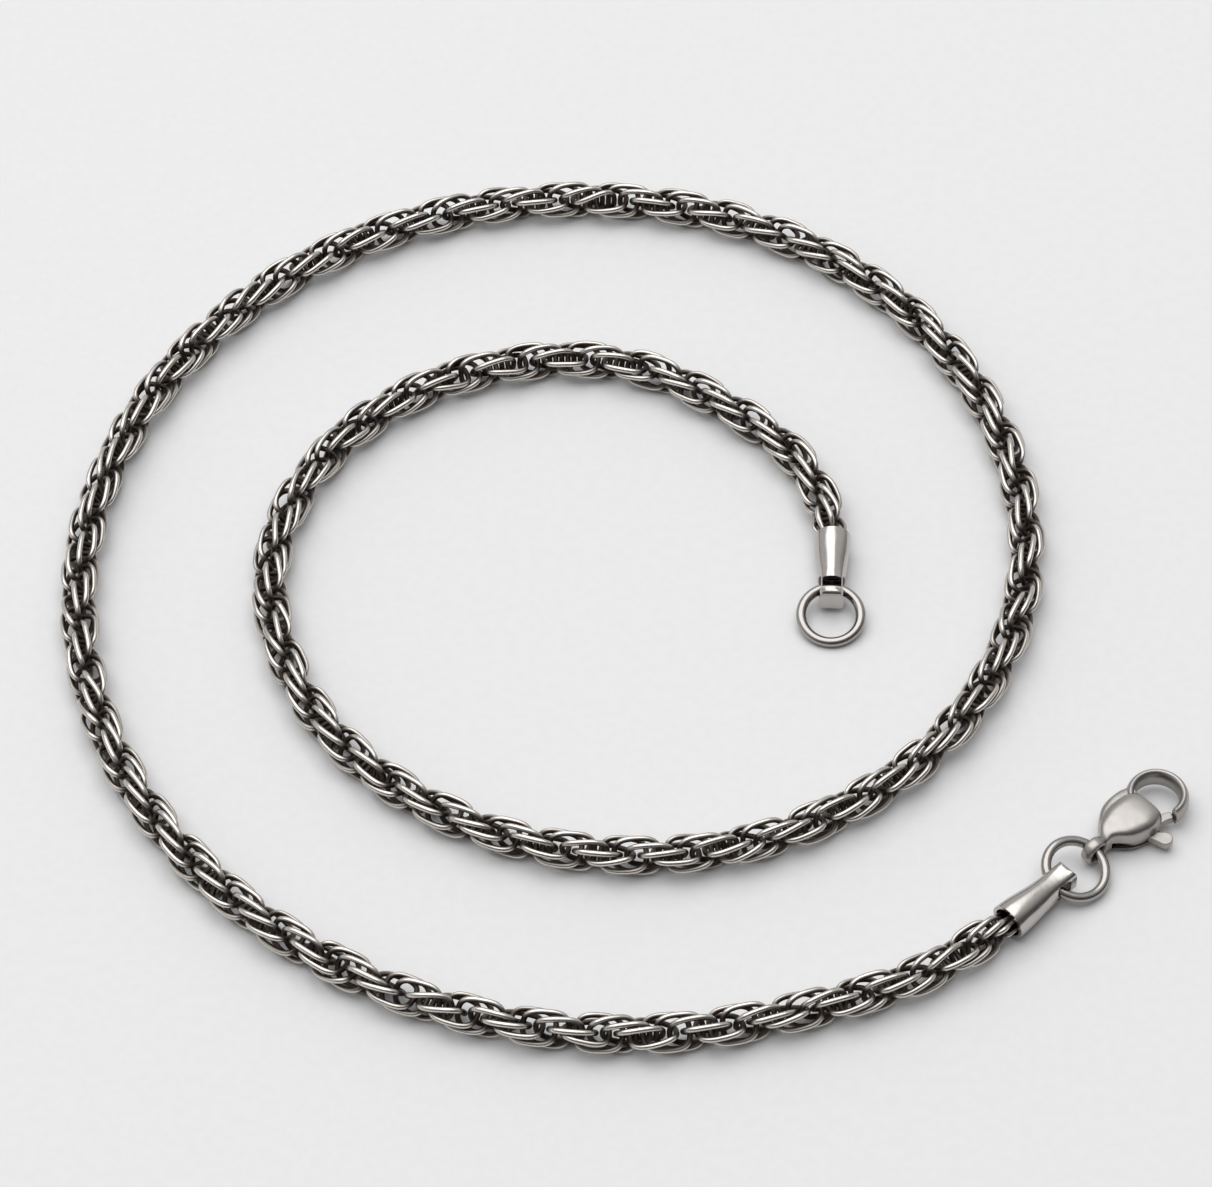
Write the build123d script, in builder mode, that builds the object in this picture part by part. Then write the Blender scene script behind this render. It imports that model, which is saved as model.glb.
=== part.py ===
from build123d import *
from math import asin, cos, degrees, pi, radians, sin, sqrt, tan
import os

# Rope chain necklace lying flat in a loose inward spiral, millimetres, floor at z = 0

# Chain
chain_diameter = 3.9
neck_diameter = 2.9      # the last links are squeezed to this to enter a cap
neck_length = 3.5        # how far the chain reaches into a cap
run_share = 0.45         # share of the shorter run that each bend takes up

# End caps
cap_wall = 0.35
cap_length = 5.3         # mouth to the strap
neck_clearance = 0.05    # radial, chain neck in the cap's bore
bore_spare = 0.3         # bore left free past the chain's end
strap_width = 2.4
strap_height = 2.9
strap_wall = 0.45
strap_front = 0.75       # the bar across the strap's far end
strap_corner = 0.5
strap_set_out = 0.2      # from the strap's start to its hole
window_rail = 0.25       # metal left on each side of the strap's window
window_set_back = 0.5    # from the side hole's start to the window's

# Jump rings
ring_diameter = 6.9      # outside
ring_wire = 1.0
ring_play = 0.3          # room round a ring's wire in a strap or an eye
ring_lift = 0.03         # ring's wire above the strap's lower bar
clasp_ring_tilt = 17.0   # degrees
end_ring_tilt = 13.0     # degrees

# Lobster clasp
clasp_heading = 43.5     # degrees from +X
clasp_thickness = 3.3
body_length = 6.1
body_width = 5.4
eye_aside = 0.4          # how far round the ring the tail eye sits
eye_width = 1.25
eye_wall = 0.6
eye_height = 1.6         # hole's centre above the floor
hook_diameter = 6.15     # outside
hook_bar = 1.0
hook_height = 2.2
hook_set_in = 0.5        # how far the hook's inner circle reaches back over the body's front
hook_root_turn = 146.0   # degrees from the heading, where the bar sinks into the body
hook_tip_turn = 110.0    # degrees the other way, before the lever's circle trims the tip
dome_power = 3.2         # squareness of a section: 2 is an ellipse, more is squarer
underside_power = 6.0
shoulder_floor = 0.5     # the flat shoulder beside the dome
shoulder_top = 2.5
section_points = 16
front_edge_radius = 0.25

# Lever and its pin
pivot_along = 2.95       # from the tail eye's centre
pivot_aside = -0.25
pivot_tall = 0.85        # body's height at the pin, in thicknesses
boss_diameter = 1.3
pin_diameter = 0.7
pin_clearance = 0.03     # radial, pin in the lever and in the shells
pin_inset = 0.1          # pin's foot above the shell's underside
pin_chamfer = 0.08
shell_over_pin = 0.12
lever_width = 0.9
lever_thickness = 0.75
lever_reach = 5.9        # pivot to the nose's end
lever_bulge = 2.15       # how far the lever's outer side stands out from the pivot
nose_side = 2.45         # the same at the nose's outer corner
nose_width = 0.8
nose_corner = 0.2
lever_edge = 0.12
slot_floor = 0.72
lever_gap = 0.08         # above and below the lever in its slot
slot_back = 1.2          # the slot's reach behind the pivot
gate_clearance = 0.08    # lever's nose to the hook's tip
slot_clearance = 0.1     # round the lever's boss
spring_room = 1.3        # slot's depth past the pivot, for the spring
tab_reach = 2.0          # the paddle's middle from its root in the lever
tab_width = 1.45
tab_root_width = 0.35
tab_along = 2.05         # from the pivot
tab_turn = -60.0         # degrees from the heading

# The chain's route, from its end inside the outer cap to its end inside the inner cap
chain_route = [
    (39.0, -37.5), (32.5, -43.5), (22.5, -48.5), (1.5, -53.5), (-20.5, -49.0),
    (-39.0, -36.0), (-51.0, -17.5), (-54.5, 5.0), (-48.0, 26.5), (-33.5, 43.5),
    (-13.0, 52.5), (10.0, 51.5), (29.0, 39.5), (40.0, 20.0), (41.0, -2.5),
    (30.0, -22.0), (10.0, -33.0), (-12.5, -31.0), (-30.5, -17.0), (-36.5, 5.5),
    (-24.5, 25.5), (-1.5, 32.0), (16.0, 20.5), (21.4, 10.5), (21.1, 3.0),
]

# End cap's outside: share of the length to the strap's end, how much of the mouth's size is
# still there over the strap's, squareness
cap_sections = [
    (0.00, 1.00, 2.0),
    (0.30, 0.75, 2.0),
    (0.60, 0.30, 2.1),
    (0.76, 0.07, 2.7),
    (1.00, 0.00, 3.4),
]

# Clasp body's sections: share of the length, left and right edge in widths, height in thicknesses
body_sections = [
    (0.00, 0.10, -0.10, 0.45),
    (0.08, 0.16, -0.12, 0.66),
    (0.16, 0.25, -0.16, 0.76),
    (0.25, 0.31, -0.26, 0.84),
    (0.41, 0.38, -0.39, 0.93),
    (0.59, 0.41, -0.46, 0.98),
    (0.77, 0.40, -0.48, 0.98),
    (0.93, 0.35, -0.43, 0.92),
    (1.00, 0.31, -0.37, 0.84),
]

# Shoulder's sections: share of the body's length, left and right edge in body widths
shoulder_sections = [
    (0.14, 0.20, 0.00),
    (0.28, 0.38, 0.00),
    (0.45, 0.50, 0.05),
    (0.63, 0.55, 0.15),
    (0.80, 0.55, 0.25),
    (0.93, 0.53, 0.17),
    (1.04, 0.48, 0.22),
]

# Bow of the lever's outer side: share of its reach, share of its bulge
lever_bow = [(0.0, 0.40), (0.08, 0.70), (0.23, 0.92), (0.48, 1.0), (0.76, 0.97)]

# Sizes that follow
axis_height = chain_diameter / 2
bore_diameter = neck_diameter + 2 * neck_clearance
mouth_diameter = bore_diameter + 2 * cap_wall
ring_radius = (ring_diameter - ring_wire) / 2
wire_bow = ring_radius - sqrt(ring_radius**2 - (strap_width / 2) ** 2)
strap_hole = ring_wire + 2 * ring_play + wire_bow
strap_hole_start = cap_length + strap_set_out
strap_end = strap_hole_start + strap_hole + strap_front
wire_along = strap_hole_start + ring_play + ring_wire / 2
eye_hole = ring_wire / 2 + ring_play
eye_radius = eye_hole + eye_wall / 2
mid_height = clasp_thickness / 2
body_end = eye_radius + body_length
shoulder_middle = (shoulder_floor + shoulder_top) / 2
hook_radius = (hook_diameter - hook_bar) / 2
hook_along = body_end - hook_set_in + hook_radius - hook_bar / 2
slot_height = lever_thickness + 2 * lever_gap
boss_seat = boss_diameter / 2 + slot_clearance
lever_floor = slot_floor + lever_gap
pin_top = mid_height + pivot_tall * clasp_thickness / 2 - shell_over_pin
pin_bottom = mid_height - pivot_tall * clasp_thickness / 2 + pin_inset
up = Vector(0, 0, 1)

os.makedirs("parts", exist_ok=True)


# Bend radii of a route: a share of the shorter run over the tangent of half the turn
def bend_radii(points):
    radii = []
    for before, here, after in zip(points, points[1:], points[2:]):
        arriving = here - before
        leaving = after - here
        turn = arriving.get_angle(leaving)
        shorter = min(arriving.length, leaving.length)
        radii.append(run_share * shorter / tan(radians(turn) / 2))
    return radii


# Closed outline of a section between an ellipse and a box, as points in the section's plane
def section_outline(left, right, tall, top_power, bottom_power):
    half = (left - right) / 2
    middle = (left + right) / 2
    outline = []
    for i in range(section_points):
        turn = 2 * pi * (i + 0.5) / section_points
        power = top_power if sin(turn) > 0 else bottom_power
        across = abs(cos(turn)) ** (2 / power)
        above = abs(sin(turn)) ** (2 / power)
        across = across if cos(turn) > 0 else -across
        above = above if sin(turn) > 0 else -above
        outline.append((middle + half * across, tall / 2 * above))
    return outline


# Chain: one tube along the route, necked down where it enters the caps
route = [Vector(x, y, axis_height) for x, y in chain_route]
radii = bend_radii(route)
outward_start = (route[0] - route[1]).normalized()
outward_end = (route[-1] - route[-2]).normalized()
mouth_start = route[0] - outward_start * neck_length
mouth_end = route[-1] - outward_end * neck_length

with BuildPart() as chain:
    with BuildLine() as chain_path:
        FilletPolyline(*route, radius=radii)
    with BuildSketch(Plane(origin=route[0], z_dir=-outward_start)):
        Circle(chain_diameter / 2)
    sweep(path=chain_path.wires()[0])
    tube_volume = chain.part.volume
    for mouth, outward in ((mouth_start, outward_start), (mouth_end, outward_end)):
        with BuildSketch(Plane(origin=mouth, z_dir=outward)):
            Circle(chain_diameter)
            Circle(neck_diameter / 2, mode=Mode.SUBTRACT)
        extrude(amount=2 * neck_length, mode=Mode.SUBTRACT)
chain.part.label = "chain"
export_step(chain.part, "parts/chain.step")

path_length = chain_path.wires()[0].length
print("bend radii", [round(radius, 1) for radius in radii])
print("runs", [round((b - a).length, 1) for a, b in zip(route, route[1:])])
print("chain length", round(path_length, 1))
print("tube volume", round(tube_volume, 1))
print("section times length", round(pi * axis_height**2 * path_length, 1))

# End caps: a drawn tube with a closed shoulder and a strap bent into an eye
cap_seats = {
    "outer_end_cap": (mouth_start, outward_start, -1),
    "inner_end_cap": (mouth_end, outward_end, 1),
}

for cap_name, (mouth, outward, window_side) in cap_seats.items():
    cap_axis = Axis(mouth, outward)
    across = up.cross(outward)
    upright = Plane(origin=mouth, x_dir=outward, z_dir=outward.cross(up))
    level = Plane(origin=mouth, x_dir=outward, z_dir=up)
    with BuildPart() as cap:
        for share, mouth_left, power in cap_sections:
            wide = strap_width + (mouth_diameter - strap_width) * mouth_left
            tall = strap_height + (mouth_diameter - strap_height) * mouth_left
            section_middle = mouth + outward * (share * strap_end)
            with BuildSketch(Plane(origin=section_middle, x_dir=across, z_dir=outward)):
                with BuildLine():
                    Spline(*section_outline(wide / 2, -wide / 2, tall, power, power), periodic=True)
                make_face()
        loft()
        with BuildSketch(upright):
            for side in (1, -1):
                with Locations((strap_end, side * strap_height / 2)):
                    Rectangle(2 * strap_corner, 2 * strap_corner)
                with Locations((strap_end - strap_corner, side * (strap_height / 2 - strap_corner))):
                    Circle(strap_corner, mode=Mode.SUBTRACT)
        extrude(amount=strap_width, both=True, mode=Mode.SUBTRACT)
        with BuildSketch(upright):
            with Locations((strap_hole_start + strap_hole / 2, 0)):
                RectangleRounded(strap_hole, strap_height - 2 * strap_wall, strap_wall)
        extrude(amount=strap_width, both=True, mode=Mode.SUBTRACT)
        with BuildSketch(level):
            with Locations((strap_hole_start + (strap_hole + window_set_back) / 2, 0)):
                Rectangle(strap_hole - window_set_back, strap_width - 2 * window_rail)
        extrude(amount=window_side * strap_height, mode=Mode.SUBTRACT)
        with BuildSketch(Plane(origin=mouth, z_dir=outward)):
            Circle(bore_diameter / 2)
        extrude(amount=neck_length + bore_spare, mode=Mode.SUBTRACT)
    cap.part.label = cap_name
    export_step(cap.part, f"parts/{cap_name}.step")

# Clasp ring: rests on the outer strap's lower bar, and its other side passes the clasp's tail eye
tilt = radians(clasp_ring_tilt)
bar_top = axis_height - strap_height / 2 + strap_wall
in_strap = mouth_start + outward_start * wire_along
in_strap.Z = bar_top + ring_lift + ring_wire / 2 / cos(tilt) + strap_width / 2 * sin(tilt)
ring_drop = in_strap.Z - eye_height
in_eye = in_strap + outward_start * sqrt((2 * ring_radius) ** 2 - ring_drop**2)
in_eye.Z = eye_height
ring_line = Axis(in_strap, in_eye - in_strap)
level_side = up.cross(outward_start)
clasp_ring_plane = Plane(
    origin=(in_strap + in_eye) / 2,
    x_dir=ring_line.direction,
    z_dir=ring_line.direction.cross(level_side).rotate(ring_line, clasp_ring_tilt),
)
with BuildPart(clasp_ring_plane) as clasp_ring:
    Torus(ring_radius, ring_wire / 2)
clasp_ring.part.label = "clasp_ring"
export_step(clasp_ring.part, "parts/clasp_ring.step")

# End ring: its near side on the floor, its far side in the inner strap
end_ring_lean = Axis((0, 0, 0), up.cross(outward_end))
end_ring_middle = mouth_end + outward_end * (wire_along + ring_radius * cos(radians(end_ring_tilt)))
end_ring_middle.Z = ring_wire / 2 + ring_radius * sin(radians(end_ring_tilt))
end_ring_plane = Plane(
    origin=end_ring_middle,
    x_dir=outward_end.rotate(end_ring_lean, end_ring_tilt),
    z_dir=up.rotate(end_ring_lean, end_ring_tilt),
)
with BuildPart(end_ring_plane) as end_ring:
    Torus(ring_radius, ring_wire / 2)
end_ring.part.label = "end_ring"
export_step(end_ring.part, "parts/end_ring.step")

# Clasp's own frame: the tail eye's centre on the floor, X along the heading
heading = Vector(cos(radians(clasp_heading)), sin(radians(clasp_heading)), 0)
aside = up.cross(heading)
tail = in_eye + aside * eye_aside
clasp_floor = Plane(origin=(tail.X, tail.Y, 0), x_dir=heading, z_dir=up)


def on_clasp(along, sideways, height):
    return clasp_floor.from_local_coords(Vector(along, sideways, height))


# Clasp body: a domed shell with a slot for the lever, a shoulder, the hook and the tail eye
eye_middle = on_clasp(0, 0, eye_height)
hook_middle = on_clasp(hook_along, 0, mid_height)
root_way = heading.rotate(Axis((0, 0, 0), up), hook_root_turn)

with BuildPart() as clasp_body:
    for share, left, right, tall in body_sections:
        section_middle = on_clasp(eye_radius + share * body_length, 0, mid_height)
        edges = (left * body_width, right * body_width)
        outline = section_outline(*edges, tall * clasp_thickness, dome_power, underside_power)
        with BuildSketch(Plane(origin=section_middle, x_dir=aside, z_dir=heading)):
            with BuildLine():
                Spline(*outline, periodic=True)
            make_face()
    loft()
    front_face = clasp_body.faces().sort_by(Axis(clasp_floor.origin, heading))[-1]
    fillet(front_face.edges(), front_edge_radius)
    for share, left, right in shoulder_sections:
        section_middle = on_clasp(eye_radius + share * body_length, 0, shoulder_middle)
        edges = (left * body_width, right * body_width)
        outline = section_outline(*edges, shoulder_top - shoulder_floor, dome_power, underside_power)
        with BuildSketch(Plane(origin=section_middle, x_dir=aside, z_dir=heading)):
            with BuildLine():
                Spline(*outline, periodic=True)
            make_face()
    loft()
    with BuildSketch(clasp_floor.offset(slot_floor)):
        with BuildLine():
            Polyline(
                (pivot_along - slot_back, -body_width),
                (pivot_along - slot_back, pivot_aside),
                (pivot_along, pivot_aside + boss_seat),
                (body_end + hook_bar, pivot_aside + spring_room),
                (body_end + hook_bar, -body_width),
                close=True,
            )
        make_face()
        with Locations((pivot_along, pivot_aside)):
            Circle(boss_seat)
    extrude(amount=slot_height, mode=Mode.SUBTRACT)
    with BuildSketch(Plane(origin=hook_middle, x_dir=root_way, z_dir=root_way.cross(up))):
        with Locations((hook_radius, 0)):
            Ellipse(hook_bar / 2, hook_height / 2)
    revolve(axis=Axis(hook_middle, -up), revolution_arc=hook_root_turn + hook_tip_turn)
    with BuildSketch(clasp_floor):
        with Locations((pivot_along, pivot_aside)):
            Circle(lever_reach + gate_clearance)
        with Locations((0, 0)):
            Rectangle(2 * (body_end + front_edge_radius), 4 * body_width, mode=Mode.SUBTRACT)
        with Locations((body_end, body_width)):
            Rectangle(2 * body_length, 2 * body_width, mode=Mode.SUBTRACT)
    extrude(amount=clasp_thickness, mode=Mode.SUBTRACT)
    with BuildSketch(Plane(origin=eye_middle, x_dir=heading, z_dir=up)):
        with Locations((eye_radius, 0)):
            Ellipse(eye_wall / 2, eye_width / 2)
    revolve(axis=Axis(eye_middle, aside))
    with BuildSketch(clasp_floor):
        with Locations((pivot_along, pivot_aside)):
            Circle(pin_diameter / 2 + pin_clearance)
    extrude(amount=pin_top + pin_clearance, mode=Mode.SUBTRACT)
clasp_body.part.label = "clasp_body"
export_step(clasp_body.part, "parts/clasp_body.step")

# Lever: a boss on the pin, a bowed arm in the slot, a nose that shuts the gate, a thumb tab
lever_plane = Plane(
    origin=on_clasp(pivot_along, pivot_aside, lever_floor), x_dir=heading, z_dir=up
)
nose_outer_turn = -degrees(asin(nose_side / lever_reach))
nose_inner_turn = -degrees(asin((nose_side - nose_width) / lever_reach))
tab_way = Vector(cos(radians(tab_turn)), sin(radians(tab_turn)))
tab_root = Vector(tab_along, lever_width / 2 - lever_bulge)
tab_middle = tab_root + tab_way * tab_reach
outer_points = [(along * lever_reach, -side * lever_bulge) for along, side in lever_bow]
inner_points = [
    (along * lever_reach + lever_width * (1 - side), lever_width - side * lever_bulge)
    for along, side in reversed(lever_bow[1:])
]

with BuildPart() as clasp_lever:
    with BuildSketch(lever_plane):
        with BuildLine():
            nose = CenterArc((0, 0), lever_reach, nose_outer_turn, nose_inner_turn - nose_outer_turn)
            outer_side = Spline((-boss_diameter / 2, 0), *outer_points, nose @ 0)
            inner_side = Spline(nose @ 1, *inner_points, (boss_diameter / 2, 0))
            Line(inner_side @ 1, outer_side @ 0)
        make_face()
        Circle(boss_diameter / 2)
    extrude(amount=lever_thickness)
    nose_edges = clasp_lever.edges().filter_by(Axis.Z).sort_by(Axis(lever_plane.origin, heading))[-2:]
    fillet(nose_edges, nose_corner)
    with BuildSketch(lever_plane):
        with Locations((tab_root.X, tab_root.Y)):
            Circle(tab_root_width / 2)
        with Locations((tab_middle.X, tab_middle.Y)):
            Circle(tab_width / 2)
        make_hull()
    extrude(amount=lever_thickness)
    fillet(clasp_lever.faces().sort_by(Axis.Z)[-1].edges(), lever_edge)
    with BuildSketch(lever_plane):
        Circle(pin_diameter / 2 + pin_clearance)
    extrude(amount=lever_thickness, mode=Mode.SUBTRACT)
clasp_lever.part.label = "clasp_lever"
export_step(clasp_lever.part, "parts/clasp_lever.step")

# Pin: set in the two shells, hidden under the domed one
with BuildPart() as clasp_pivot:
    with BuildSketch(clasp_floor.offset(pin_bottom)):
        with Locations((pivot_along, pivot_aside)):
            Circle(pin_diameter / 2)
    extrude(amount=pin_top - pin_bottom)
    chamfer(clasp_pivot.edges().filter_by(GeomType.CIRCLE), pin_chamfer)
clasp_pivot.part.label = "clasp_pivot"
export_step(clasp_pivot.part, "parts/clasp_pivot.step")

pivot_place = on_clasp(pivot_along, pivot_aside, lever_floor + lever_thickness / 2)
print("lever pivot", round(pivot_place.X, 3), round(pivot_place.Y, 3), round(pivot_place.Z, 3))
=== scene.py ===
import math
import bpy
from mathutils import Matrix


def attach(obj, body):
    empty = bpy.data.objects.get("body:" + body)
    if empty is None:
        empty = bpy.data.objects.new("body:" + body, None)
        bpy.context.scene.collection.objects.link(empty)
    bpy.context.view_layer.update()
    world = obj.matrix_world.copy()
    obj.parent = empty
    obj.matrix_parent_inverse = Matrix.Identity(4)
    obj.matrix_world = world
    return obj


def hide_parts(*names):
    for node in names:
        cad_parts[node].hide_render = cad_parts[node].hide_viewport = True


bl_info = {
    "name": "Rope Chain Necklace",
    "version": (1, 0, 0),
    "blender": (4, 5, 0),
    "location": "3D View > Sidebar > Necklace",
    "description": "Dresses a packed rope chain necklace with wire links, metal finishes and a studio",
    "category": "Object",
}

import bpy
import numpy as np

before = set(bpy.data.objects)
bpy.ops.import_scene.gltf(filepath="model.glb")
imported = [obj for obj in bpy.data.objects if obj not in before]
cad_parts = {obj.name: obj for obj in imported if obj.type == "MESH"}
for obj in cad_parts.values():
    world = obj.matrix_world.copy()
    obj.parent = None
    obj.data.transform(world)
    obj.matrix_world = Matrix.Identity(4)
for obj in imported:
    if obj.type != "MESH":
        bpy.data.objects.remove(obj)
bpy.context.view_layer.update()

# The chain's route on the floor, from inside the outer cap to inside the inner cap, in metres
ROUTE = [
    (0.0390, -0.0375), (0.0325, -0.0435), (0.0225, -0.0485), (0.0015, -0.0535),
    (-0.0205, -0.0490), (-0.0390, -0.0360), (-0.0510, -0.0175), (-0.0545, 0.0050),
    (-0.0480, 0.0265), (-0.0335, 0.0435), (-0.0130, 0.0525), (0.0100, 0.0515),
    (0.0290, 0.0395), (0.0400, 0.0200), (0.0410, -0.0025), (0.0300, -0.0220),
    (0.0100, -0.0330), (-0.0125, -0.0310), (-0.0305, -0.0170), (-0.0365, 0.0055),
    (-0.0245, 0.0255), (-0.0015, 0.0320), (0.0160, 0.0205), (0.0214, 0.0105),
    (0.0211, 0.0030),
]
ROUTE_STEPS = 48

# How far the rope reaches into a cap
CAP_DEPTH = 0.0035

# How far the whole weave is turned about its axis along the route: metres along, degrees
ROLL_DRIFT = [
    (0.000, 0.0), (0.020, 25.0), (0.055, 15.0), (0.080, -20.0), (0.120, 0.0), (0.145, 30.0),
    (0.180, -5.0), (0.215, -10.0), (0.240, 25.0), (0.270, 10.0), (0.300, -25.0), (0.345, -15.0),
    (0.375, 20.0), (0.410, 0.0), (0.440, 5.0), (0.480, -20.0),
]

# Points by which a link's outline is measured, tries to fit a link between its neighbours, and how many
# links beyond its own span it has to miss
OUTLINE_POINTS = 1600
TRIES = 24
LINKS_BEYOND_SPAN = 2

# The least distance from the rope's axis that counts when polish is worked out, as a share of the wire
LEAST_OFF_AXIS = 0.001

# Surface detail: cells to the metre and depth of detail, then strength and height in metres of its relief
WIRE_PATCHES = (900.0, 2.0)
WIRE_SCRATCHES = (6000.0, 2.0)
WIRE_RELIEF = (0.12, 0.00004)
STEEL_CLOUDS = (260.0, 3.0)
STEEL_MARKS = (1400.0, 4.0)
STEEL_HAIRLINES = (5200.0, 2.0, (1.0, 0.25, 1.0))
STEEL_RELIEF = (0.10, 0.00003)
PAPER_GRAIN = (900.0, 2.0)

# The stretch of each noise that is used, and how dim its darkest part makes the colour
WIRE_NOISE = (0.35, 0.65)
STEEL_NOISE = (0.3, 0.7)
DIMMEST_PATCH = 0.82
DIMMEST_CLOUD = 0.9
DIMMEST_GRAIN = 0.985

# Places of the colours from blackened and painted-shade recess to polish, from painted shade in corners to
# open steel, and from dim to light paper
WIRE_STOPS = (0.06, 0.26, 0.50)
STEEL_STOPS = (0.10, 0.60, 0.98)
PAPER_STOPS = (0.4, 0.6)

# How polished the wire is where its roughness begins and stops changing
WIRE_SMOOTHING = (0.1, 0.7)

# Samples for the ambient occlusion that paints shade into the metals' colour.
SHADE_SAMPLES = 8
PAPER_ROUGHNESS = 0.85
PAPER_SHINE = 0.2

# Studio: half the floor's side, the main light's place and the point that the camera looks at, in metres
FLOOR_HALF = 3.0
MAIN_LIGHT_PLACE = (-0.22, 0.30, 1.25)
AIM = (-0.0013, 0.00095, 0.0)
NEAREST_SEEN = 0.01
SENSOR_WIDTH_MM = 36.0

# How much of the way to the brightest side the room's light changes over
SKY_SPAN = (-0.35, 0.55)
WHITE = (1.0, 1.0, 1.0, 1.0)

CAP_NODES = ("outer_end_cap", "inner_end_cap")
RING_NODES = ("clasp_ring", "end_ring")
CLASP_NODES = ("clasp_body", "clasp_lever", "clasp_pivot")


# Route

def route_line():
    """Points along the route's own spline, with the length run so far at each."""
    curve = bpy.data.curves.new("route", "CURVE")
    curve.dimensions = "3D"
    spline = curve.splines.new("NURBS")
    spline.points.add(len(ROUTE) - 1)
    height = bpy.context.scene.rope_sizes.outside / 2
    for point, (x, y) in zip(spline.points, ROUTE):
        point.co = (x, y, height, 1.0)
    spline.order_u = 3
    spline.use_endpoint_u = True
    spline.resolution_u = ROUTE_STEPS
    holder = bpy.data.objects.new("route", curve)
    mesh = bpy.data.meshes.new_from_object(holder)
    line = np.array([vertex.co for vertex in mesh.vertices])
    bpy.data.meshes.remove(mesh)
    bpy.data.objects.remove(holder)
    bpy.data.curves.remove(curve)
    steps = np.linalg.norm(np.diff(line, axis=0), axis=1)
    return line, np.concatenate([[0.0], np.cumsum(steps)])


def along(line, run, at):
    """Points on the line at the given lengths."""
    return np.stack([np.interp(at, run, line[:, axis]) for axis in range(3)], 1)


def lay_on_route(points, line, run, feel):
    """Bends points of a straight chain (along, aside, up) onto the route."""
    at = points[:, 0]
    middle = along(line, run, at)
    heading = along(line, run, at + feel) - along(line, run, at - feel)
    heading /= np.linalg.norm(heading, axis=1)[:, None]
    aside = np.stack([-heading[:, 1], heading[:, 0], np.zeros(len(at))], 1)
    up = np.array([0.0, 0.0, 1.0])
    return middle + aside * points[:, 1:2] + up * points[:, 2:3]


# Wire link

def flat_link(sizes, length, steps):
    """One link laid flat: a squarish oval, as places along the rope and distances from its axis."""
    turn = np.linspace(0, 2 * math.pi, OUTLINE_POINTS, endpoint=False)
    power = 2 / sizes.squareness
    reach = (sizes.outside - sizes.wire) / 2
    c, s = np.cos(turn), np.sin(turn)
    x = length / 2 * np.sign(c) * np.abs(c) ** power
    r = reach * np.sign(s) * np.abs(s) ** power
    oval = np.stack([x, r], 1)
    closed = np.vstack([oval, oval[:1]])
    run = np.concatenate([[0.0], np.cumsum(np.linalg.norm(np.diff(closed, axis=0), axis=1))])
    at = np.linspace(0, run[-1], steps, endpoint=False)
    return np.stack([np.interp(at, run, closed[:, axis]) for axis in range(2)], 1)


def place_link(oval, length, at, turn, lean):
    """The flat link set at its place along the rope, turned about the axis and leaned at its ends."""
    x, r = oval.T
    angle = turn + lean * x / (length / 2)
    return np.stack([x + at, r * np.cos(angle), r * np.sin(angle)], 1)


def nearest(loop, others):
    """The least distance from one link's wire to its neighbours'."""
    return min((np.linalg.norm(loop[:, None] - other[None], axis=2).min() for other in others), default=1.0)


def weave(sizes, oval, length, places):
    """Links set along a straight rope, turned and leaned a little by chance where neighbours allow."""
    chance = np.random.default_rng(sizes.seed)
    drift = np.array(ROLL_DRIFT)
    neighbours = sizes.span + LINKS_BEYOND_SPAN
    enough = sizes.wire + sizes.spare / 3
    links = []
    for k, at in enumerate(places):
        turn = sizes.roll + sizes.step * k + math.radians(np.interp(at, drift[:, 0], drift[:, 1]))
        best, widest = None, -1.0
        for attempt in range(TRIES):
            ease = 1 - attempt / TRIES
            link = place_link(
                oval, length, at,
                turn + chance.normal(0, sizes.turn_unrest) * ease,
                sizes.lean + chance.normal(0, sizes.lean_unrest) * ease,
            )
            free = nearest(link, links[-neighbours:])
            if free > widest:
                best, widest = link, free
            if free > enough:
                break
        links.append(best)
    return links


def wire_round(loop, radius, sides):
    """Skin of a round wire bent along a closed loop, in rings of points, and which way it faces."""
    heading = np.roll(loop, -1, 0) - np.roll(loop, 1, 0)
    heading /= np.linalg.norm(heading, axis=1)[:, None]
    across = np.zeros_like(heading)
    first = np.cross(heading[0], [0.0, 0.0, 1.0])
    across[0] = first / np.linalg.norm(first)
    for i in range(1, len(loop)):
        turned = across[i - 1] - heading[i] * (across[i - 1] @ heading[i])
        across[i] = turned / np.linalg.norm(turned)
    last = across[-1] - heading[0] * (across[-1] @ heading[0])
    last /= np.linalg.norm(last)
    slip = math.atan2(np.cross(last, across[0]) @ heading[0], last @ across[0])
    other = np.cross(heading, across)
    angle = np.linspace(0, 2 * math.pi, sides, endpoint=False)
    share = np.arange(len(loop))[:, None] / len(loop)
    angle = angle[None, :] + slip * share
    facing = np.cos(angle)[..., None] * across[:, None, :] + np.sin(angle)[..., None] * other[:, None, :]
    skin = loop[:, None, :] + radius * facing
    return skin.reshape(-1, 3), facing.reshape(-1, 3)


def rubbed(skin, facing, sizes, finish):
    """How well a polishing cloth round the rope reaches each point of a link's skin, 0 to 1."""
    far = np.maximum(np.hypot(skin[:, 1], skin[:, 2]), sizes.wire * LEAST_OFF_AXIS)
    outward = (skin[:, 1] * facing[:, 1] + skin[:, 2] * facing[:, 2]) / far
    high = far / (sizes.outside / 2)
    turned_out = np.clip((outward - finish.dark_facing) / (finish.bright_facing - finish.dark_facing), 0, 1)
    raised = np.clip((high - finish.dark_depth) / (finish.bright_depth - finish.dark_depth), 0, 1)
    return turned_out * raised


def ring_faces(steps, sides):
    """Quads that close rings of points into a tube that bites its own tail."""
    faces = []
    for i in range(steps):
        for j in range(sides):
            a, b = i * sides + j, i * sides + (j + 1) % sides
            c = (i + 1) % steps * sides + (j + 1) % sides
            d = (i + 1) % steps * sides + j
            faces.append((a, d, c, b))
    return np.array(faces)


# Materials

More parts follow.
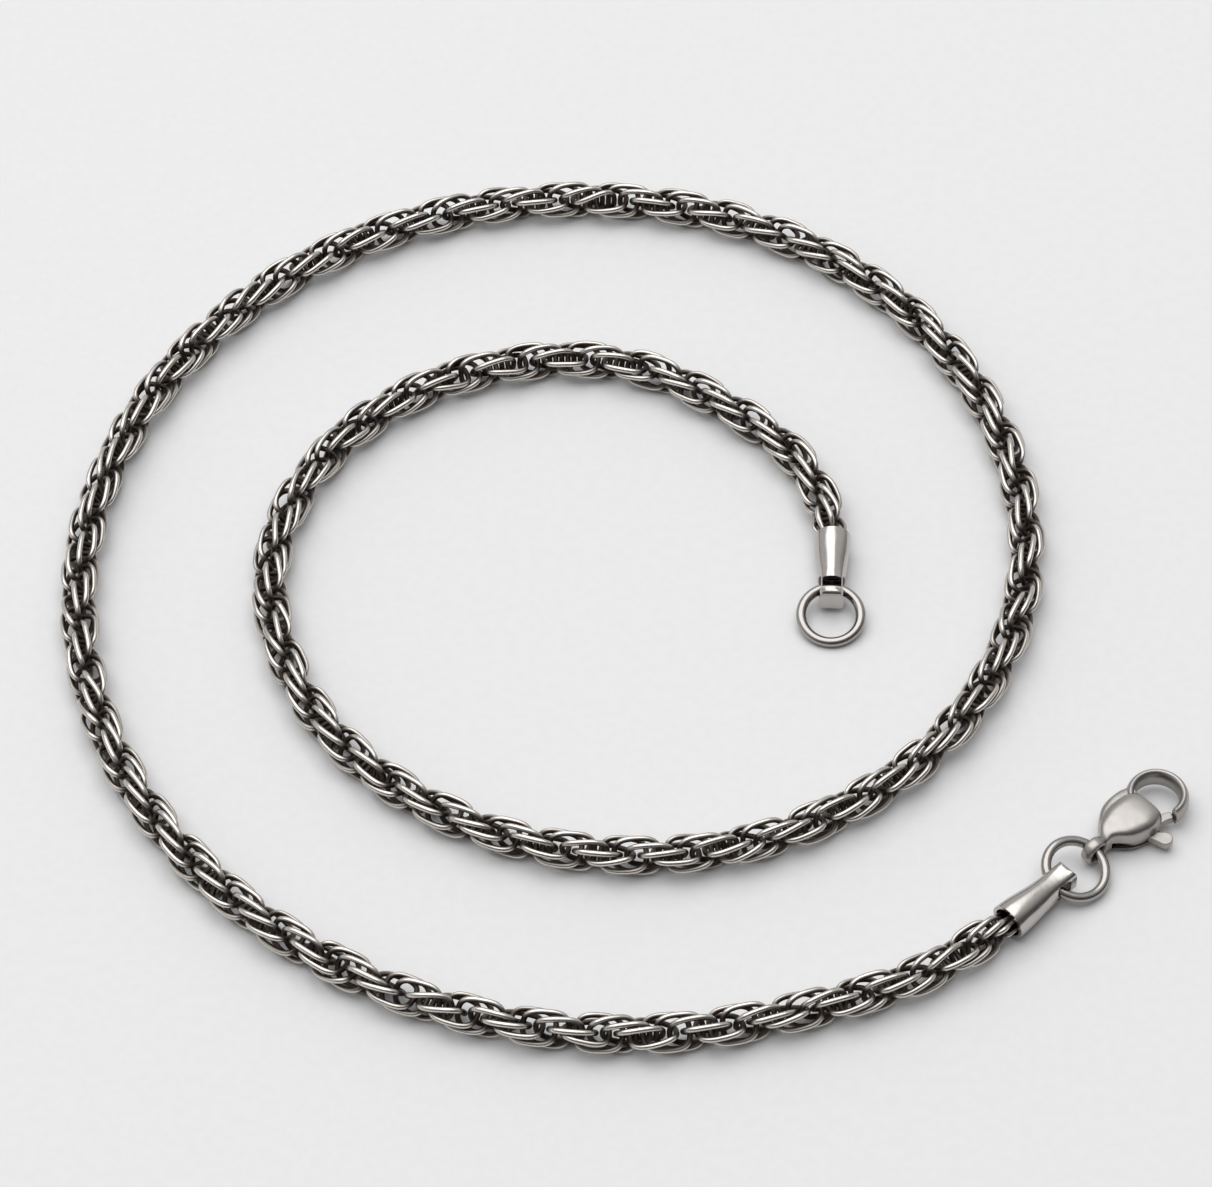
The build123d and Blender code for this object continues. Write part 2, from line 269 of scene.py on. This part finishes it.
def new_material(name):
    """An empty node material with its output and its metal shader."""
    material = bpy.data.materials.new(name)
    material.use_nodes = True
    tree = material.node_tree
    tree.nodes.clear()
    output = tree.nodes.new("ShaderNodeOutputMaterial")
    shader = tree.nodes.new("ShaderNodeBsdfPrincipled")
    tree.links.new(shader.outputs["BSDF"], output.inputs["Surface"])
    return material, tree, shader


def dimmed(colour, share):
    """A colour at a share of its brightness."""
    return tuple(part * share for part in colour)


def ramp(tree, source, stops):
    """A colour ramp over a source, with the given places and colours."""
    node = tree.nodes.new("ShaderNodeValToRGB")
    band = node.color_ramp
    while len(band.elements) < len(stops):
        band.elements.new(stops[-1][0])
    for element, (place, colour) in zip(band.elements, stops):
        element.position = place
        element.color = (*colour, 1.0)
    tree.links.new(source, node.inputs["Fac"])
    return node.outputs["Color"]


def multiply(tree, a, b):
    """The product of two values."""
    node = tree.nodes.new("ShaderNodeMath")
    node.operation = "MULTIPLY"
    tree.links.new(a, node.inputs[0])
    tree.links.new(b, node.inputs[1])
    return node.outputs[0]


def spread(tree, source, low, high, to_low, to_high):
    """A value moved from one range to another, held at its ends."""
    node = tree.nodes.new("ShaderNodeMapRange")
    tree.links.new(source, node.inputs["Value"])
    for socket, value in zip(("From Min", "From Max", "To Min", "To Max"), (low, high, to_low, to_high)):
        node.inputs[socket].default_value = value
    return node.outputs["Result"]


def noise(tree, scale, detail, stretch=(1.0, 1.0, 1.0)):
    """Noise in the object's own coordinates, in cells to the metre."""
    place = tree.nodes.new("ShaderNodeTexCoord")
    mapping = tree.nodes.new("ShaderNodeMapping")
    mapping.inputs["Scale"].default_value = stretch
    node = tree.nodes.new("ShaderNodeTexNoise")
    node.inputs["Scale"].default_value = scale
    node.inputs["Detail"].default_value = detail
    tree.links.new(place.outputs["Object"], mapping.inputs["Vector"])
    tree.links.new(mapping.outputs["Vector"], node.inputs["Vector"])
    return node.outputs["Fac"]


def bump(tree, shader, height, strength, distance):
    """Low relief from a height."""
    node = tree.nodes.new("ShaderNodeBump")
    node.inputs["Strength"].default_value = strength
    node.inputs["Distance"].default_value = distance
    tree.links.new(height, node.inputs["Height"])
    tree.links.new(node.outputs["Normal"], shader.inputs["Normal"])


def oxide_and_painted_shade_wire_material():
    """Steel wire polished on its outside and blackened in the weave's recesses, with painted shade where
    neighbouring wires crowd it.
    """
    finish = bpy.context.scene.rope_finish
    material, tree, shader = new_material("oxide_and_painted_shade_wire")
    shader.inputs["Metallic"].default_value = 1.0
    reached = tree.nodes.new("ShaderNodeAttribute")
    reached.attribute_name = "rubbed"
    # Painted shade: ambient occlusion from neighbouring wires darkens the colour, on top of the real
    # blackening of the recesses.
    shade = tree.nodes.new("ShaderNodeAmbientOcclusion")
    shade.samples = SHADE_SAMPLES
    shade.inputs["Distance"].default_value = finish.shade_reach
    bright = multiply(tree, reached.outputs["Fac"], shade.outputs["AO"])
    patchy = spread(tree, noise(tree, *WIRE_PATCHES), *WIRE_NOISE, DIMMEST_PATCH, 1.0)
    bright = multiply(tree, bright, patchy)
    colours = (finish.recess_colour, finish.worn_colour, finish.polish_colour)
    tree.links.new(ramp(tree, bright, list(zip(WIRE_STOPS, colours))), shader.inputs["Base Color"])
    rough = spread(tree, bright, *WIRE_SMOOTHING, finish.recess_roughness, finish.polish_roughness)
    tree.links.new(rough, shader.inputs["Roughness"])
    bump(tree, shader, noise(tree, *WIRE_SCRATCHES), *WIRE_RELIEF)
    return material


def steel_material(name, least_roughness, most_roughness, brightness=1.0):
    """Warm steel with a polished or satin shine, hairlines, soft handling marks and painted shade in its
    corners.
    """
    finish = bpy.context.scene.fitting_finish
    material, tree, shader = new_material(name)
    shader.inputs["Metallic"].default_value = 1.0
    # Painted shade: ambient occlusion darkens the colour in corners and recesses, down to the darkest
    # colour.
    shade = tree.nodes.new("ShaderNodeAmbientOcclusion")
    shade.samples = SHADE_SAMPLES
    shade.inputs["Distance"].default_value = finish.shade_reach
    cloud = spread(tree, noise(tree, *STEEL_CLOUDS), *STEEL_NOISE, DIMMEST_CLOUD, 1.0)
    colours = (
        finish.painted_shade_colour,
        dimmed(finish.dark_colour, brightness),
        dimmed(finish.light_colour, brightness),
    )
    shaded = multiply(tree, shade.outputs["AO"], cloud)
    tree.links.new(ramp(tree, shaded, list(zip(STEEL_STOPS, colours))), shader.inputs["Base Color"])
    rough = spread(tree, noise(tree, *STEEL_MARKS), *STEEL_NOISE, least_roughness, most_roughness)
    tree.links.new(rough, shader.inputs["Roughness"])
    bump(tree, shader, noise(tree, *STEEL_HAIRLINES), *STEEL_RELIEF)
    return material


def floor_material():
    """Plain pale paper."""
    studio = bpy.context.scene.studio
    material, tree, shader = new_material("pale_paper")
    colours = (dimmed(studio.floor_colour, DIMMEST_GRAIN), studio.floor_colour)
    grain = ramp(tree, noise(tree, *PAPER_GRAIN), list(zip(PAPER_STOPS, colours)))
    tree.links.new(grain, shader.inputs["Base Color"])
    shader.inputs["Roughness"].default_value = PAPER_ROUGHNESS
    shader.inputs["Specular IOR Level"].default_value = PAPER_SHINE
    return material


# Sizes and finishes that a user may change

class RopeSizes(bpy.types.PropertyGroup):
    outside: bpy.props.FloatProperty(
        name="Rope diameter", description="Outside diameter of the rope",
        default=0.0039, min=0.001, unit="LENGTH", precision=5)
    wire: bpy.props.FloatProperty(
        name="Wire", description="Diameter of a link's wire",
        default=0.00056, min=0.0001, unit="LENGTH", precision=5)
    pitch: bpy.props.FloatProperty(
        name="Pitch", description="Distance from one link to the next along the rope",
        default=0.00124, min=0.0005, unit="LENGTH", precision=5)
    spare: bpy.props.FloatProperty(
        name="Play", description="Room between a link's end and the link that it holds",
        default=0.00006, min=0.0, unit="LENGTH", precision=5)
    span: bpy.props.IntProperty(
        name="Span", description="How many links along the rope one link reaches over",
        default=3, min=2, max=8)
    lean: bpy.props.FloatProperty(
        name="Lean", description="How far each end of a link is twisted about the rope's axis",
        default=math.radians(-8), unit="ROTATION")
    step: bpy.props.FloatProperty(
        name="Step", description="Turn from one link to the next about the rope's axis",
        default=math.radians(36), unit="ROTATION")
    turn_unrest: bpy.props.FloatProperty(
        name="Uneven turn", description="How much the links' turns vary by chance",
        default=math.radians(6), min=0.0, unit="ROTATION")
    lean_unrest: bpy.props.FloatProperty(
        name="Uneven lean", description="How much the links' leans vary by chance",
        default=math.radians(9), min=0.0, unit="ROTATION")
    seed: bpy.props.IntProperty(
        name="Seed", description="Which set of chance turns and leans", default=4, min=0)
    roll: bpy.props.FloatProperty(
        name="Roll", description="Turn of the whole weave about its axis",
        default=0.0, unit="ROTATION")
    squareness: bpy.props.FloatProperty(
        name="Squareness", description="2 makes a link an ellipse, more makes its ends fuller",
        default=3.0, min=2.0, max=6.0)
    neck: bpy.props.FloatProperty(
        name="Neck", description="Share of the rope's diameter left where it enters a cap",
        default=0.70, min=0.3, max=1.0)
    squeeze: bpy.props.FloatProperty(
        name="Squeeze length", description="Length over which the rope narrows before a cap's mouth",
        default=0.0016, min=0.0001, unit="LENGTH", precision=5)
    steps: bpy.props.IntProperty(
        name="Steps along a link", description="Points along one link's wire", default=42, min=16, max=96)
    sides: bpy.props.IntProperty(
        name="Sides", description="Points round the wire", default=12, min=6, max=24)


class RopeFinish(bpy.types.PropertyGroup):
    # Painted shade also takes this colour where the ambient occlusion between wires is deep.
    recess_colour: bpy.props.FloatVectorProperty(
        name="Recess", description="Blackened colour deep in the weave, also laid where painted shade falls between wires",
        subtype="COLOR", size=3, default=(0.085, 0.069, 0.059), min=0.0, max=1.0)
    # Half-shaded spots take this colour too, as painted shade.
    worn_colour: bpy.props.FloatVectorProperty(
        name="Worn", description="Colour where the black is half polished away or half in painted shade",
        subtype="COLOR", size=3, default=(0.24, 0.215, 0.195), min=0.0, max=1.0)
    polish_colour: bpy.props.FloatVectorProperty(
        name="Polish", description="Colour of the polished highs",
        subtype="COLOR", size=3, default=(0.62, 0.585, 0.545), min=0.0, max=1.0)
    dark_depth: bpy.props.FloatProperty(
        name="Dark below", description="Share of the rope's radius where the black begins",
        default=0.45)
    bright_depth: bpy.props.FloatProperty(
        name="Bright above", description="Share of the rope's radius where the polish is full",
        default=0.85)
    dark_facing: bpy.props.FloatProperty(
        name="Dark side", description="How far outwards the wire faces where the black begins, -1 to 1",
        default=-0.1, min=-1.0, max=1.0)
    bright_facing: bpy.props.FloatProperty(
        name="Bright side", description="How far outwards the wire faces where the polish is full, -1 to 1",
        default=0.9, min=-1.0, max=1.0)
    # Reach of the ambient occlusion that paints shade into the wire's colour.
    shade_reach: bpy.props.FloatProperty(
        name="Shade reach", description="How far from a neighbouring wire the painted shade reaches",
        default=0.0011, unit="LENGTH", precision=5)
    polish_roughness: bpy.props.FloatProperty(
        name="Polished roughness", description="Roughness of the polished highs",
        subtype="FACTOR", default=0.22, min=0.0, max=1.0)
    recess_roughness: bpy.props.FloatProperty(
        name="Recess roughness", description="Roughness of the blackened recesses",
        subtype="FACTOR", default=0.5, min=0.0, max=1.0)


class FittingFinish(bpy.types.PropertyGroup):
    light_colour: bpy.props.FloatVectorProperty(
        name="Light steel", description="Brightest colour of the polished steel",
        subtype="COLOR", size=3, default=(0.52, 0.495, 0.47), min=0.0, max=1.0)
    # Mostly reached where painted shade near corners dims the steel, a little where its cloudy tone does.
    dark_colour: bpy.props.FloatVectorProperty(
        name="Dull steel", description="Dullest colour of the polished steel",
        subtype="COLOR", size=3, default=(0.44, 0.42, 0.395), min=0.0, max=1.0)
    # Painted shade: the colour that ambient occlusion lays into corners and recesses.
    painted_shade_colour: bpy.props.FloatVectorProperty(
        name="Corners", description="Colour of the painted shade in corners",
        subtype="COLOR", size=3, default=(0.10, 0.09, 0.08), min=0.0, max=1.0)
    # Reach of the ambient occlusion that paints shade into the steel's colour.
    shade_reach: bpy.props.FloatProperty(
        name="Shade reach", description="How far from a corner the painted shade reaches",
        default=0.0012, unit="LENGTH", precision=5)
    least_roughness: bpy.props.FloatProperty(
        name="Least roughness", description="Roughness of the shiniest spots on the caps and rings",
        subtype="FACTOR", default=0.14, min=0.0, max=1.0)
    most_roughness: bpy.props.FloatProperty(
        name="Most roughness", description="Roughness of the dullest spots on the caps and rings",
        subtype="FACTOR", default=0.24, min=0.0, max=1.0)
    ring_brightness: bpy.props.FloatProperty(
        name="Rings and clasp", description="Brightness of the rings and the clasp beside the caps",
        subtype="FACTOR", default=0.76, min=0.0, max=1.0)
    least_satin: bpy.props.FloatProperty(
        name="Least satin", description="Roughness of the shiniest spots on the clasp",
        subtype="FACTOR", default=0.30, min=0.0, max=1.0)
    most_satin: bpy.props.FloatProperty(
        name="Most satin", description="Roughness of the dullest spots on the clasp",
        subtype="FACTOR", default=0.40, min=0.0, max=1.0)


class Studio(bpy.types.PropertyGroup):
    floor_colour: bpy.props.FloatVectorProperty(
        name="Floor", description="Colour of the paper underneath",
        subtype="COLOR", size=3, default=(0.84, 0.84, 0.845), min=0.0, max=1.0)
    sky_way: bpy.props.FloatVectorProperty(
        name="Room light's way", description="Direction in which the room is brightest",
        subtype="DIRECTION", size=3, default=(-0.5, 1.0, 0.8))
    sky_back: bpy.props.FloatProperty(
        name="Room light behind", description="Strength of the room's light where it is brightest",
        default=0.62, min=0.0)
    sky_front: bpy.props.FloatProperty(
        name="Room light in front", description="Strength of the room's light where it is dimmest",
        default=0.10, min=0.0)
    key_power: bpy.props.FloatProperty(
        name="Main light", description="Power of the big soft light overhead, behind and to the left",
        default=13.4, min=0.0, unit="POWER")
    key_size: bpy.props.FloatProperty(
        name="Main light's side", description="Side of the big soft light",
        default=1.6, min=0.01, unit="LENGTH")
    elevation: bpy.props.FloatProperty(
        name="Camera height", description="Camera's angle above the floor",
        default=math.radians(51.9), unit="ROTATION")
    distance: bpy.props.FloatProperty(
        name="Camera distance", description="From the lens to the necklace's middle",
        default=0.506, min=0.05, unit="LENGTH")
    lens: bpy.props.FloatProperty(
        name="Lens", description="Focal length for a 36 mm wide picture", default=151.49, min=10.0)


# Operators

class NECKLACE_OT_studio(bpy.types.Operator):
    """Makes the pale floor, the soft light and the camera."""
    bl_idname = "necklace.studio"
    bl_label = "Studio"

    def execute(self, context):
        studio = context.scene.studio
        context.scene.view_settings.view_transform = "Standard"
        mesh = bpy.data.meshes.new("floor")
        half = FLOOR_HALF
        corners = [(-half, -half, 0.0), (half, -half, 0.0), (half, half, 0.0), (-half, half, 0.0)]
        mesh.from_pydata(corners, [], [(0, 1, 2, 3)])
        floor = bpy.data.objects.new("floor", mesh)
        context.collection.objects.link(floor)
        mesh.materials.append(floor_material())

        world = bpy.data.worlds.new("room")
        world.use_nodes = True
        context.scene.world = world
        self.room(world.node_tree, studio)
        self.soft_light(context, "main_light", MAIN_LIGHT_PLACE, studio.key_size, studio.key_power)
        self.camera(context, studio)
        return {"FINISHED"}

    def room(self, tree, studio):
        """Light from all round, stronger from above and behind than from low in front and on the right."""
        way = tree.nodes.new("ShaderNodeTexCoord")
        toward = tree.nodes.new("ShaderNodeVectorMath")
        toward.operation = "DOT_PRODUCT"
        toward.inputs[1].default_value = studio.sky_way
        tree.links.new(way.outputs["Generated"], toward.inputs[0])
        shade = spread(tree, toward.outputs["Value"], *SKY_SPAN, studio.sky_front, studio.sky_back)
        tree.links.new(shade, tree.nodes["Background"].inputs["Strength"])
        tree.nodes["Background"].inputs["Color"].default_value = WHITE

    def soft_light(self, context, name, place, side, power):
        """A square soft light that faces the necklace."""
        light = bpy.data.lights.new(name, "AREA")
        light.energy = power
        light.size = side
        lamp = bpy.data.objects.new(name, light)
        lamp.location = place
        lamp.rotation_euler = (-lamp.location).to_track_quat("-Z", "Y").to_euler()
        context.collection.objects.link(lamp)

    def camera(self, context, studio):
        """The camera in front of the necklace, above the floor, looking at its middle."""
        data = bpy.data.cameras.new("camera")
        data.sensor_fit = "HORIZONTAL"
        data.sensor_width = SENSOR_WIDTH_MM
        data.lens = studio.lens
        data.clip_start = NEAREST_SEEN
        camera = bpy.data.objects.new("camera", data)
        rise = studio.elevation
        camera.location = (
            AIM[0],
            AIM[1] - studio.distance * math.cos(rise),
            AIM[2] + studio.distance * math.sin(rise),
        )
        camera.rotation_euler = (math.pi / 2 - rise, 0.0, 0.0)
        context.collection.objects.link(camera)
        context.scene.camera = camera


class NECKLACE_OT_rope(bpy.types.Operator):
    """Weaves the wire links along the route, in place of the plain chain."""
    bl_idname = "necklace.rope"
    bl_label = "Rope of links"

    def execute(self, context):
        sizes = context.scene.rope_sizes
        line, run = route_line()
        length = sizes.span * sizes.pitch + sizes.wire + sizes.spare
        laid = run[-1] - length - sizes.wire
        count = int(laid / sizes.pitch) + 1
        if count < 2:
            raise RuntimeError("The route is too short for a rope of these links")
        pitch = laid / (count - 1)
        places = (length + sizes.wire) / 2 + np.arange(count) * pitch
        links = weave(sizes, flat_link(sizes, length, sizes.steps), length, places)
        quads = ring_faces(sizes.steps, sizes.sides)
        material = oxide_and_painted_shade_wire_material()
        feel = sizes.pitch / 4
        half = count // 2
        for name, loops in (("rope_outer_turn", links[:half]), ("rope_inner_turn", links[half:])):
            points, faces, polish = [], [], []
            for loop in loops:
                skin, facing = wire_round(loop, sizes.wire / 2, sizes.sides)
                polish.append(rubbed(skin, facing, sizes, context.scene.rope_finish))
                skin[:, 1:] *= self.narrowing(skin[:, 0], run[-1], sizes)[:, None]
                faces.append(quads + len(points) * len(skin))
                points.append(lay_on_route(skin, line, run, feel))
            rope = self.piece(context, name, np.vstack(points), np.vstack(faces))
            mark = rope.data.attributes.new("rubbed", "FLOAT", "POINT")
            mark.data.foreach_set("value", np.concatenate(polish).astype(np.float32))
            rope.data.materials.append(material)
            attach(rope, "necklace")
            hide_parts("chain")
        return {"FINISHED"}

    def narrowing(self, at, end, sizes):
        """Share of the rope's width left at each length, narrowed towards and inside the caps."""
        from_mouth = np.minimum(at, end - at) - CAP_DEPTH
        t = np.clip(from_mouth / sizes.squeeze, 0.0, 1.0)
        return sizes.neck + (1 - sizes.neck) * t * t * (3 - 2 * t)

    def piece(self, context, name, points, faces):
        """A smooth mesh piece made of quads."""
        mesh = bpy.data.meshes.new(name)
        mesh.vertices.add(len(points))
        mesh.vertices.foreach_set("co", points.astype(np.float32).ravel())
        mesh.loops.add(faces.size)
        mesh.loops.foreach_set("vertex_index", faces.astype(np.int32).ravel())
        mesh.polygons.add(len(faces))
        mesh.polygons.foreach_set("loop_start", np.arange(0, faces.size, 4, dtype=np.int32))
        mesh.update(calc_edges=True)
        mesh.validate()
        mesh.shade_smooth()
        piece = bpy.data.objects.new(name, mesh)
        context.collection.objects.link(piece)
        return piece


def dress(nodes, material):
    """Gives CAD nodes a material in place of their plain one."""
    for name in nodes:
        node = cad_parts.get(name)
        if node is None:
            raise RuntimeError(f"The frame has no node called {name}")
        node.data.materials.clear()
        node.data.materials.append(material)


class NECKLACE_OT_fittings(bpy.types.Operator):
    """Polishes the caps, the rings and the clasp, with painted shade in their corners."""
    bl_idname = "necklace.fittings"
    bl_label = "Fittings"

    def execute(self, context):
        finish = context.scene.fitting_finish
        shiny = (finish.least_roughness, finish.most_roughness)
        satin = (finish.least_satin, finish.most_satin)
        dress(CAP_NODES, steel_material("polished_caps", *shiny))
        dress(RING_NODES, steel_material("polished_rings", *shiny, finish.ring_brightness))
        dress(CLASP_NODES, steel_material("satin_clasp", *satin, finish.ring_brightness))
        return {"FINISHED"}


class NECKLACE_PT_panel(bpy.types.Panel):
    """Lists the necklace's pieces and their settings."""
    bl_idname = "NECKLACE_PT_panel"
    bl_label = "Necklace"
    bl_space_type = "VIEW_3D"
    bl_region_type = "UI"
    bl_category = "Necklace"

    def draw(self, context):
        layout = self.layout
        scene = context.scene
        for operator, settings in PARTS:
            box = layout.box()
            box.operator(operator)
            for group in settings:
                values = getattr(scene, group)
                for name in values.__annotations__:
                    box.prop(values, name)


PARTS = [
    ("necklace.studio", ("studio",)),
    ("necklace.rope", ("rope_sizes", "rope_finish")),
    ("necklace.fittings", ("fitting_finish",)),
]
GROUPS = {
    "studio": Studio,
    "rope_sizes": RopeSizes,
    "rope_finish": RopeFinish,
    "fitting_finish": FittingFinish,
}
CLASSES = (
    *GROUPS.values(),
    NECKLACE_OT_studio,
    NECKLACE_OT_rope,
    NECKLACE_OT_fittings,
    NECKLACE_PT_panel,
)


def register():
    for cls in CLASSES:
        bpy.utils.register_class(cls)
    for name, group in GROUPS.items():
        setattr(bpy.types.Scene, name, bpy.props.PointerProperty(type=group))


def unregister():
    for name in GROUPS:
        delattr(bpy.types.Scene, name)
    for cls in reversed(CLASSES):
        bpy.utils.unregister_class(cls)


def main():
    """Makes the whole scene."""
    register()
    bpy.ops.necklace.studio()
    bpy.ops.necklace.rope()
    bpy.ops.necklace.fittings()


if __name__ == "__main__":
    main()
